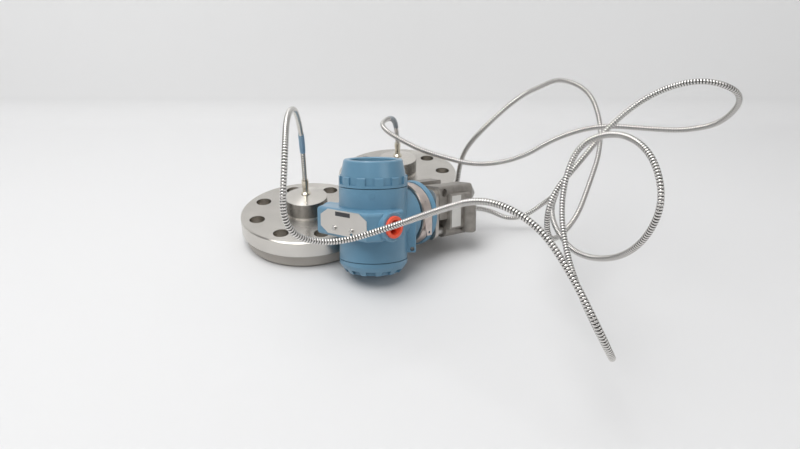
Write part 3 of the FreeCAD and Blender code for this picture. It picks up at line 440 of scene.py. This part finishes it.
# Tone by height: the colour paints the hub's side darker than the flange, as painted shade,
# and the hub's cone lighter, as a painted highlight. A ramp only reaches from 0 to 1, so the
# heights are stretched on it.
HUB_SHADE_AND_HIGHLIGHT = ((1.0, 0.0385), (0.42, 0.0395), (0.42, 0.0564), (1.15, 0.0572))
HEIGHT_STRETCH = 10
for number, centre in SEAL_CENTRES:
    spot = (centre[0] / 1000, centre[1] / 1000, SEAL_MIDDLE)
    turned = finish("turned_stainless_%d" % number, (0.66, 0.64, 0.61), 0.25, 1.0, 0.35, 30)
    turned_sheen(turned, spot, 0.9)
    nodes, links = turned.node_tree.nodes, turned.node_tree.links
    height = nodes.new("ShaderNodeSeparateXYZ")
    # Painted shade on the hub's side and a painted highlight on its cone, by height.
    hub_painted_light_ramp = nodes.new("ShaderNodeValToRGB")
    for level, position in HUB_SHADE_AND_HIGHLIGHT:
        stop = hub_painted_light_ramp.color_ramp.elements.new(position * HEIGHT_STRETCH)
        stop.color = (level, level * 0.99, level * 0.97, 1)
    hub_painted_light_ramp.color_ramp.elements[0].color = (1, 1, 1, 1)
    hub_painted_light_mix = nodes.new("ShaderNodeMix")
    hub_painted_light_mix.data_type = "RGBA"
    hub_painted_light_mix.blend_type = "MULTIPLY"
    hub_painted_light_mix.inputs["Factor"].default_value = 1.0
    stretch = nodes.new("ShaderNodeMath")
    stretch.operation = "MULTIPLY"
    stretch.inputs[1].default_value = HEIGHT_STRETCH
    links.new(nodes["Texture Coordinate"].outputs["Object"], height.inputs["Vector"])
    links.new(height.outputs["Z"], stretch.inputs[0])
    links.new(stretch.outputs["Value"], hub_painted_light_ramp.inputs["Fac"])
    links.new(nodes["Group"].outputs["Color"], hub_painted_light_mix.inputs["A"])
    links.new(hub_painted_light_ramp.outputs["Color"], hub_painted_light_mix.inputs["B"])
    links.new(hub_painted_light_mix.outputs["Result"], nodes["Principled BSDF"].inputs["Base Color"])
    dress(turned, "seal_flange_%d" % number)
    fitting = finish("turned_nickel_brass_%d" % number, (0.70, 0.65, 0.54), 0.24, 1.0)
    turned_sheen(fitting, spot, 0.5)
    dress(fitting, "capillary_fitting_%d" % number)
dress(finish("diaphragm_foil", (0.70, 0.69, 0.67), 0.22, 1.0), "seal_diaphragm_1",
      "seal_diaphragm_2", "isolating_diaphragms")
dress(finish("moulded_guard", (0.44, 0.41, 0.37), 0.42), "seal_guard_1", "seal_guard_2")


# Housing and its two screwed covers: pressure die castings in one smooth light blue paint.
# The weld collar of the sensor module has the same paint.
blue_paint = finish("light_blue_paint", (0.118, 0.258, 0.375), 0.34, 0.0, 0.28, 30, 700,
                    0.00005, 0.25)
dress(blue_paint, "housing", "display_cover", "terminal_cover", "module_collar")
dress(finish("black_rubber", (0.012, 0.012, 0.012), 0.6), "display_cover_oring",
      "terminal_cover_oring", "window_gasket", "process_orings")


# Display behind the window: a glass disc held by a ring, over a moulded bezel and a panel.
glass = bpy.data.materials.new("window_glass")
glass.use_nodes = True
shader = glass.node_tree.nodes["Principled BSDF"]
shader.inputs["Base Color"].default_value = (0.93, 0.97, 0.97, 1)
shader.inputs["Roughness"].default_value = 0.02
shader.inputs["Transmission Weight"].default_value = 1.0
shader.inputs["IOR"].default_value = 1.45
dress(glass, "window_glass")
dress(finish("moulded_bezel", (0.62, 0.62, 0.60), 0.45), "display_module")
dress(finish("display_panel", (0.30, 0.34, 0.28), 0.15), "display_panel")
dress(finish("black_potting", (0.02, 0.02, 0.022), 0.45), "electronics_module", "terminal_block")


# Name plate and its screws, buttons under it, and the plugs of the two conduit entries.
dress(finish("plate_steel", (0.66, 0.635, 0.60), 0.32, 1.0, 0.15, 50), "name_plate")
dress(finish("bright_screws", (0.58, 0.57, 0.55), 0.25, 1.0), "plate_screws", "terminal_screws",
      "window_retainer", "blind_plug", "swivel_set_screw", "vent_plug_1", "vent_plug_2")
dress(finish("button_plastic", (0.70, 0.70, 0.66), 0.45), "zero_button", "span_button")
dress(finish("orange_plastic", (0.83, 0.10, 0.045), 0.30, 0.0, 0.1), "conduit_plug")


# The plate carries one plain printed strip of dark enamel near its top edge.
STRIP_FROM, STRIP_TO = -0.0085, 0.0160
STRIP_BOTTOM, STRIP_TOP = 0.0084, 0.0132
STRIP_FACE = -0.04962       # just proud of the plate
STRIP_T = 0.00008
bpy.ops.mesh.primitive_plane_add(size=1, location=(0, 0, 0))
strip = bpy.context.object
strip.name = "plate_strip"
for vertex, (x, z) in zip(strip.data.vertices, (
        (STRIP_FROM, STRIP_BOTTOM), (STRIP_TO, STRIP_BOTTOM),
        (STRIP_FROM, STRIP_TOP), (STRIP_TO, STRIP_TOP))):
    vertex.co = lie @ Vector((x, STRIP_FACE, z))
bpy.ops.object.modifier_add(type="SOLIDIFY")
strip.modifiers["Solidify"].thickness = STRIP_T
strip.modifiers["Solidify"].offset = 0
bpy.ops.object.modifier_apply(modifier="Solidify")
strip.data.materials.append(finish("strip_enamel", (0.03, 0.03, 0.035), 0.4, 0.0, 0.6, 300))
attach(strip, "plate")


# Sensor end: welded stainless module, its stained band, and the cast coplanar flange with
# four bolts and two turned connectors.
dress(finish("module_steel", (0.50, 0.47, 0.44), 0.34, 1.0, 0.5, 70), "sensor_module")
dress(finish("stained_band", (0.66, 0.58, 0.54), 0.33, 1.0, 0.8, 90), "tag_band")
dress(finish("cast_stainless", (0.30, 0.28, 0.255), 0.48, 0.6, 0.9, 110, 420, 0.00025),
      "process_flange")
dress(finish("bolt_steel", (0.45, 0.44, 0.42), 0.35, 0.9), "flange_bolts")
dress(finish("connector_steel", (0.66, 0.65, 0.63), 0.22, 1.0), "capillary_connector_1",
      "capillary_connector_2")
dress(finish("label_paper", (0.66, 0.65, 0.62), 0.5), "flange_label")
